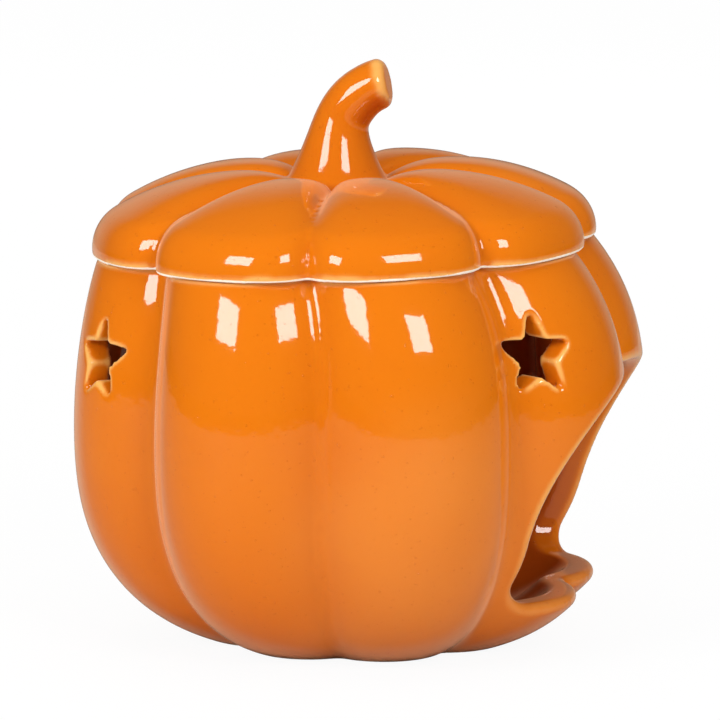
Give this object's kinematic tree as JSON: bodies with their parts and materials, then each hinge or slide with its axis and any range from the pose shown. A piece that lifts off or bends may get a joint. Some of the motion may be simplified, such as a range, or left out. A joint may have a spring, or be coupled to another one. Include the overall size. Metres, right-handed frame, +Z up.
{
  "type": "ceramic pumpkin lantern",
  "caption": "Glazed ceramic lantern shaped as a lobed pumpkin, with a wide open mouth, star cut-outs, a lift-off lid with a curved stem, and a tealight inside.",
  "frame": {"origin": "centre of the base, on the surface the lantern stands on", "axes": "+X out of the mouth, +Y to the lantern's left, +Z up"},
  "size_m": [0.1337, 0.1346, 0.1412],
  "materials": {
    "orange_glaze": "glossy orange glaze, lighter at cut edges and darker in the creases",
    "candle_cup": "thin drawn sheet, bright",
    "wax": "off-white, waxy",
    "tinned_steel": "bright tinned plate",
    "wick": "braided cotton"
  },
  "bodies": {
    "lantern": {"pumpkin_body": "orange_glaze"},
    "lid": {"lid": "orange_glaze"},
    "tealight": {"tealight_cup": "candle_cup", "tealight_wax": "wax", "wick_holder": "tinned_steel", "wick": "wick"}
  },
  "joints": [
    {"name": "lid_lift", "type": "slide", "parent": "lantern", "child": "lid", "axis": [0, 0, 1], "range_m": [0, 0.08]},
    {"name": "tealight_out", "type": "slide", "parent": "lantern", "child": "tealight", "axis": [0.9136, 0, 0.4067], "range_m": [0, 0.11]}
  ]
}
